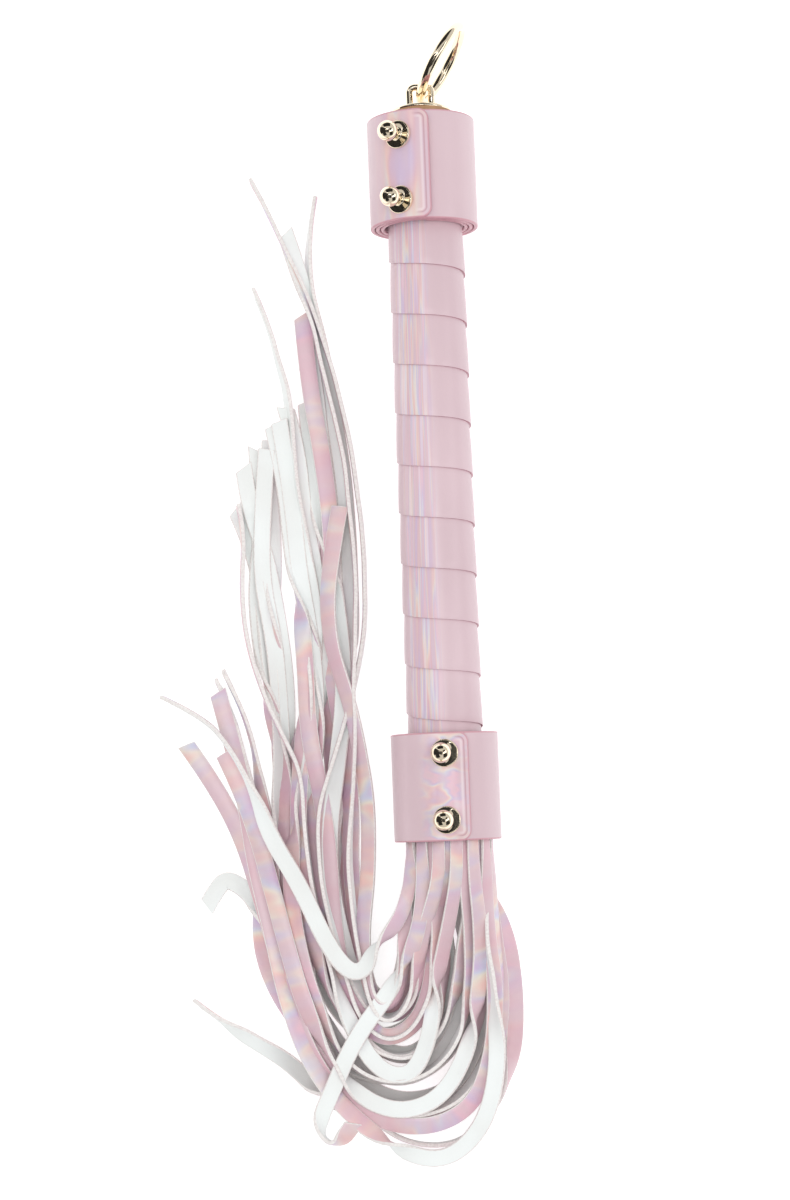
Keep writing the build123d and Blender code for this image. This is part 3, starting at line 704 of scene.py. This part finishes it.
def tail_strip(number, level, lane, root, twist, route, materials):
    """A tail: a flat strip that follows its line and turns over where it is twisted."""
    keys = [(0, root[1])] + twist
    line = tail_line(level, lane, root, keys, route)
    count = len(line) - 1
    travelled = [0.0]
    for before, after in zip(line, line[1:]):
        travelled.append(travelled[-1] + (after - before).length)
    bm = bmesh.new()
    bmesh.ops.create_grid(bm, x_segments=count, y_segments=STRIP_ROWS, size=0.5)
    uv = bm.loops.layers.uv.new("length")
    for face in bm.faces:
        for loop in face.loops:
            station = round((loop.vert.co.x + 0.5) * count)
            loop[uv].uv = (travelled[station] + number * PATTERN_SHIFT,
                            loop.vert.co.y * STRIP_WIDTH)
    slant = TIP_SLANT * sin(number * SLANT_SHIFT)
    for vert in bm.verts:
        station = round((vert.co.x + 0.5) * count)
        grown = min(1, travelled[station] / ROOT_FLARE)
        across = vert.co.y * STRIP_WIDTH * (ROOT_SHARE + (1 - ROOT_SHARE) * grown)
        ahead = line[min(station + 1, count)] - line[max(station - 1, 0)]
        ahead.normalize()
        side = ahead.cross(Vector((0, 0, 1))).normalized()
        rise = side.cross(ahead)
        turned = radians(turned_at(keys, travelled[station] / MM))
        width = side * cos(turned) + rise * sin(turned)
        curl = STRIP_CURL * (1 - (2 * across / STRIP_WIDTH) ** 2)
        spot = Vector((travelled[station] * WAVE_PACE, number * WAVE_SHIFT, 0))
        lift = curl + noise.noise(spot) * STRIP_WAVE
        reach = slant * vert.co.y * 2 if station == count else 0.0
        vert.co = line[station] + width * across + width.cross(ahead) * lift + ahead * reach
    bmesh.ops.reverse_faces(bm, faces=bm.faces)
    strip = piece(f"tail_strip_{number:02d}", bm, materials)
    thicken(strip, STRIP_THICKNESS, STRIP_CORNER, rim=2, back=1, rounding=2)
    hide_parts(f"tail_{number:02d}")


def tails():
    materials = [tail_face(), tail_back(), tail_edge()]
    for tail in TAILS:
        tail_strip(*tail, materials)


# ---- The handle ----
def grip_strip():
    """The strip wound up the grip, each turn lapping over the one below it."""
    start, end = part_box("grip_wrap")[0][1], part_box("grip_wrap")[1][1]
    turns = int((end - start) / WRAP_PITCH) + 3
    bm = bmesh.new()
    bmesh.ops.create_grid(bm, x_segments=turns * WRAP_CUTS, y_segments=WRAP_ROWS, size=0.5)
    outside = GRIP_RADIUS - WRAP_THICKNESS / 2
    for vert in bm.verts:
        wound = (vert.co.x + 0.5) * turns
        share = 0.5 - vert.co.y           # of its width, down from the upper edge
        angle = wound * 2 * pi
        tuck = WRAP_SETTLE + WRAP_TUCK * (1 - share)
        if share > 0.95:
            tuck += WRAP_PRESS
        radius = outside - tuck * min(1, 1.05 - share)
        place = end + WRAP_PITCH + WRAP_PHASE - share * (WRAP_PITCH + WRAP_OVERLAP)
        slack = sin(angle) * WRAP_SLACK + (1 - cos(angle)) * WRAP_BOW
        place -= (wound - slack) * WRAP_PITCH
        vert.co = (radius * sin(angle), place, AXIS + radius * cos(angle))
    for edge, way in ((start, -1), (end, 1)):
        cut(bm, (0, edge, 0), (0, way, 0), clear_outer=True)
    bmesh.ops.recalc_face_normals(bm, faces=bm.faces)
    # The grip's foil carries a painted sheen on one side of the handle.
    foil = streaked("grip_foil_leather", GRIP_SHEEN, GRIP_SWIRL, turns=True)
    edge = painted_edge("grip_strip_edge", GRIP_EDGE, WORN_GRIP_EDGE)
    strip = piece("grip_strip", bm, [foil, edge])
    thicken(strip, WRAP_THICKNESS, WRAP_CORNER, rim=1)
    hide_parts("grip_wrap")


def strap_arcs(collar):
    """The half turns of a wound strap, as (radius, centre above the axis, start angle,
    angle that it turns through)."""
    half = STRAP_PITCH / 2
    inner = collar["bore"] + STRAP_THICKNESS / 2
    halves = 2 * collar["turns"]
    arcs = [(inner + turn * half, turn % 2 * half, turn % 2 * pi, pi) for turn in range(halves)]
    return arcs + [(inner + halves * half, 0, 0, radians(collar["flap"]))]


def flat_strap(length):
    """A strap laid flat along X, with a round-cornered free end, and cut to be wound. Its UV
    map holds the distances from that end and from the nearest long edge."""
    bm = bmesh.new()
    corners = [bm.verts.new(c) for c in (
        (0, 0, 0), (length, 0, 0), (length, COLLAR_LENGTH, 0), (0, COLLAR_LENGTH, 0))]
    bm.faces.new(corners)
    bmesh.ops.bevel(bm, geom=corners[1:3], offset=FLAP_CORNER, segments=8, profile=0.5,
                    affect="VERTICES", material=-1)
    steps = round(length / STRAP_STEP)
    for i in range(1, steps):
        cut(bm, (length * i / steps, 0, 0), (1, 0, 0))
    for i in range(1, STRAP_ROWS):
        cut(bm, (0, COLLAR_LENGTH * i / STRAP_ROWS, 0), (0, 1, 0))
    border = bm.loops.layers.uv.new("border")
    for face in bm.faces:
        for loop in face.loops:
            far, across = loop.vert.co.x, loop.vert.co.y
            loop[border].uv = (length - far, min(across, COLLAR_LENGTH - across))
    return bm


def collar_strap(name, node, collar, start, edge_paint):
    """A collar: a strap wound round the handle."""
    arcs = strap_arcs(collar)
    bm = flat_strap(sum(radius * sweep for radius, centre, first, sweep in arcs))
    for vert in bm.verts:
        far, across = vert.co.x, vert.co.y
        for radius, centre, first, sweep in arcs[:-1]:
            if far <= radius * sweep + 1e-9:
                break
            far -= radius * sweep
        else:
            radius, centre, first, sweep = arcs[-1]
        angle = first + far / radius
        vert.co = (radius * sin(angle), start + across, AXIS + centre + radius * cos(angle))
    bmesh.ops.recalc_face_normals(bm, faces=bm.faces)
    # Where the collar's painted sheen lies round the handle
    painted_sheen = (collar["painted_sheen"], collar["flap"] - SHEEN_GAP)
    foil = streaked(f"{node}_foil_leather", painted_sheen, collar["swirl"])
    strap = piece(name, bm, [foil, edge_paint])
    thicken(strap, STRAP_THICKNESS - STRAP_SQUEEZE, STRAP_CORNER, rim=1, segments=3)
    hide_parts(node)


def stud_places(studs, collar):
    """Where a collar's studs stand, leaning to their own side."""
    half = STRAP_PITCH / 2
    radius = collar["bore"] + (2 * collar["turns"] - 1) * half + STRAP_THICKNESS
    height = AXIS + half + sqrt(radius**2 - studs["across"] ** 2)
    lean = radians(studs["lean"])
    normal = Vector((-sin(lean), 0, cos(lean)))
    return [facing(Vector((studs["across"], MOUTH + y, height)) - normal * STUD["sink"], normal)
            for y in studs["along"]]


def ball_studs(name, node, places, material):
    """Ball studs: a round-edged base, a waisted stem and a ball, all turned."""
    base, height, stem, ball = STUD["base"], STUD["height"], STUD["stem"], STUD["ball"]
    profile = [(0, 0), (base, 0)]
    profile += bow((base - STUD_RIM, height - STUD_RIM), STUD_RIM, 0, 90, 5)
    profile += [(stem + out, height + up) for out, up in STUD_FILLET]
    profile += bow((0, STUD["reach"]), ball, -degrees(acos(stem / ball)), 90, 20)[:-1]
    profile += [(0, STUD["reach"] + ball)]
    bm = bmesh.new()
    for place in places:
        spun(bm, profile, place)
    bmesh.ops.recalc_face_normals(bm, faces=bm.faces)
    studs = piece(name, bm, [material])
    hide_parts(node)


def end_plate(material):
    """The round-edged plate on the end of the core."""
    bm = bmesh.new()
    rim = PLATE_HEIGHT / 2
    profile = [(0, 0), (PLATE_RADIUS, 0)] + bow((PLATE_RADIUS - rim, rim), rim, 0, 90, 6)
    profile += [(0, PLATE_HEIGHT)]
    spun(bm, profile, facing((0, CORE_END, AXIS), (0, 1, 0)), steps=64)
    bmesh.ops.recalc_face_normals(bm, faces=bm.faces)
    plate = piece("ring_plate", bm, [material])
    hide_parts("end_plate")


def select_end(wire, made):
    """Selects the faces among what was made, which are the wire's new end."""
    for face in wire.faces:
        face.select = False
    for item in made:
        if isinstance(item, bmesh.types.BMFace):
            item.select = True


def run_on(wire, reach):
    """Lengthens a wire straight on from its selected end."""
    end = [f for f in wire.faces if f.select]
    grown = bmesh.ops.extrude_face_region(wire, geom=end)["geom"]
    bmesh.ops.delete(wire, geom=end, context="FACES_ONLY")
    verts = [g for g in grown if isinstance(g, bmesh.types.BMVert)]
    bmesh.ops.translate(wire, verts=verts, vec=reach)
    select_end(wire, grown)


def turn_right(wire, centre):
    """Bends a wire through a quarter turn round a centre, from its selected end."""
    end = [f for f in wire.faces if f.select]
    made = bmesh.ops.spin(wire, geom=end, cent=centre, axis=(0, 0, 1), dvec=(0, 0, 0),
                          angle=-pi / 2, steps=8)
    bmesh.ops.delete(wire, geom=end, context="FACES_ONLY")
    select_end(wire, made["geom_last"])


def staple(material):
    """The wire staple that is driven into the core through the plate."""
    half, corner = STAPLE["half"], STAPLE["corner"]
    foot = CORE_END - STAPLE["prong"]
    shoulder = CORE_END + PLATE_HEIGHT + STAPLE["reach"] - corner
    wire = bmesh.new()
    bmesh.ops.create_circle(wire, cap_ends=True, segments=20, radius=STAPLE["wire"])
    bmesh.ops.rotate(wire, verts=wire.verts, matrix=Matrix.Rotation(-pi / 2, 3, "X"))
    bmesh.ops.translate(wire, verts=wire.verts, vec=(-half, foot, AXIS))
    select_end(wire, wire.faces[:])
    run_on(wire, (0, shoulder - foot, 0))
    turn_right(wire, (-half + corner, shoulder, AXIS))
    run_on(wire, (2 * (half - corner), 0, 0))
    turn_right(wire, (half - corner, shoulder, AXIS))
    run_on(wire, (0, foot - shoulder, 0))
    merge(wire, wire.verts)
    bmesh.ops.recalc_face_normals(wire, faces=wire.faces)
    thing = piece("ring_staple_wire", wire, [material])
    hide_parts("ring_staple")


def hanging_ring(material):
    """The ring that hangs in the staple."""
    low, high = (Vector(c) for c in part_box("hanging_ring"))
    turned, droop = radians(RING["turn"]), radians(RING["droop"])
    reach = Vector((sin(turned) * cos(droop), cos(turned) * cos(droop), -sin(droop)))
    roll = Matrix.Rotation(radians(RING_ROLL), 3, reach)
    axle = roll @ Vector((cos(turned), -sin(turned), 0))
    bm = bmesh.new()
    bmesh.ops.create_circle(bm, segments=28, radius=RING["wire"])
    bmesh.ops.rotate(bm, verts=bm.verts, matrix=Matrix.Rotation(pi / 2, 3, "X"))
    bmesh.ops.translate(bm, verts=bm.verts, vec=(RING["radius"], 0, 0))
    bmesh.ops.spin(bm, geom=bm.verts[:] + bm.edges[:], cent=(0, 0, 0), axis=(0, 0, 1),
                   angle=2 * pi, steps=96, use_merge=True)
    merge(bm, bm.verts)
    place = Matrix((reach, reach.cross(axle), axle)).transposed().to_4x4()
    bmesh.ops.transform(bm, matrix=Matrix.Translation((low + high) / 2) @ place, verts=bm.verts)
    bmesh.ops.recalc_face_normals(bm, faces=bm.faces)
    ring = piece("hanging_ring_wire", bm, [material], "ring")
    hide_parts("hanging_ring")


def dress(node, material):
    """Gives a CAD node that stays as it is its material."""
    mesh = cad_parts[node].data
    mesh.materials.clear()
    mesh.materials.append(material)


# ---- Studio ----
FLOOR_SIZE = 30
FLOOR_HEIGHT = -0.02 * MM
FLOOR_GLOW = 0.6
WORLD_LIGHT = 0.62
SOFTBOXES = [("right_softbox", (0.9, -0.1, 0.9), 0.9, 3.0),       # place, size, watts
             ("left_softbox", (-0.8, 0.4, 1.1), 0.8, 2.5),
             ("overhead_softbox", (-0.1, -0.1, 1.5), 0.7, 5.6)]
# Black cards that only polished metal sees, as (degrees round from +X, degrees up, width,
# height), all aimed at a spot over the middle of the table.
BLACK_CARDS = [(175, 28, 1.6, 0.9), (95, 30, 0.9, 0.65), (-38, 30, 0.6, 0.6),
               (18, 54, 0.4, 0.25), (-128, 34, 0.5, 0.6), (-95, 80, 0.5, 0.5)]
CARD_DISTANCE = 0.8
CARD_AIM = (0, 0, 0.02)

EYE = (-15.4 * MM, MOUTH + 9.4 * MM, 768 * MM)
EYE_LEAN = 2.235              # degrees that the handle's ring end leans to the left
VIEW_ANGLE = 26.0
VIEW_SHIFT = 0.175            # the eye is over the mouth, and the frame reaches up from it


def card(name, size, centre, aim, material):
    """A flat card of the studio, facing a point."""
    bm = bmesh.new()
    bmesh.ops.create_grid(bm, x_segments=1, y_segments=1, size=0.5)
    bmesh.ops.scale(bm, verts=bm.verts, vec=(*size, 1))
    way = Vector(aim) - Vector(centre)
    bmesh.ops.transform(bm, matrix=facing(centre, way.normalized()), verts=bm.verts)
    thing = link_mesh(name, bm, [material])
    return thing


def studio():
    floor = Finish("pale_floor", Roughness=0.9, Specular_IOR_Level=0.1, Base_Color=FLOOR_GREY,
                   Emission_Color=WHITE, Emission_Strength=FLOOR_GLOW)
    card("floor", (FLOOR_SIZE, FLOOR_SIZE), (0, 0, FLOOR_HEIGHT), (0, 0, 1), floor.material)

    black = Finish("black_card", Base_Color=BLACK, Roughness=1.0)
    for index, (turn, rise, wide, tall) in enumerate(BLACK_CARDS):
        turn, rise = radians(turn), radians(rise)
        way = Vector((cos(turn) * cos(rise), sin(turn) * cos(rise), sin(rise)))
        thing = card(f"black_card_{index}", (wide, tall), way * CARD_DISTANCE, CARD_AIM,
                     black.material)
        thing.visible_camera = False
        thing.visible_diffuse = False
        thing.visible_shadow = False

    world = bpy.data.worlds.new("studio")
    world.use_nodes = True
    sky = world.node_tree.nodes["Background"]
    sky.inputs["Color"].default_value = WHITE
    sky.inputs["Strength"].default_value = WORLD_LIGHT
    bpy.context.scene.world = world
    for name, spot, size, power in SOFTBOXES:
        light = bpy.data.lights.new(name, "AREA")
        light.size = size
        light.energy = power
        lamp = bpy.data.objects.new(name, light)
        lamp.matrix_world = facing(spot, Vector(spot).normalized())
        bpy.context.scene.collection.objects.link(lamp)


def camera():
    """Straight above the whip."""
    lean = radians(EYE_LEAN)
    up = Vector((sin(lean), cos(lean), 0))
    back = Vector((0, 0, 1))
    aim = Matrix((up.cross(back), up, back)).transposed().to_4x4()
    lens = bpy.data.cameras.new("camera")
    lens.angle = radians(VIEW_ANGLE)
    lens.shift_y = VIEW_SHIFT
    lens.clip_start = 0.05
    view = bpy.data.objects.new("camera", lens)
    view.matrix_world = Matrix.Translation(EYE) @ aim
    bpy.context.scene.collection.objects.link(view)
    bpy.context.scene.camera = view
    bpy.context.scene.view_settings.view_transform = "Standard"


def main():
    camera()
    studio()
    tails()
    grip_strip()
    edge_paint = painted_edge("strap_painted_edge", STRAP_EDGE, WORN_STRAP_EDGE)
    collar_strap("top_collar_strap", "top_collar", TOP_COLLAR, HANDLE_END - COLLAR_LENGTH,
                 edge_paint)
    collar_strap("lower_collar_strap", "lower_collar", LOWER_COLLAR, MOUTH, edge_paint)
    gilt = gold()
    ball_studs("top_collar_ball_studs", "top_collar_studs",
               stud_places(TOP_STUDS, TOP_COLLAR), gilt)
    ball_studs("lower_collar_ball_studs", "lower_collar_studs",
               stud_places(LOWER_STUDS, LOWER_COLLAR), gilt)
    end_plate(gilt)
    staple(gilt)
    hanging_ring(gilt)
    dress("handle_core", wood())
    dress("tail_root_band", leather("rolled_root_leather").material)
    plain_steel = steel()
    for node in ("band_brads", "top_stud_screws", "lower_stud_screws"):
        dress(node, plain_steel)


main()
bpy.context.view_layer.update()
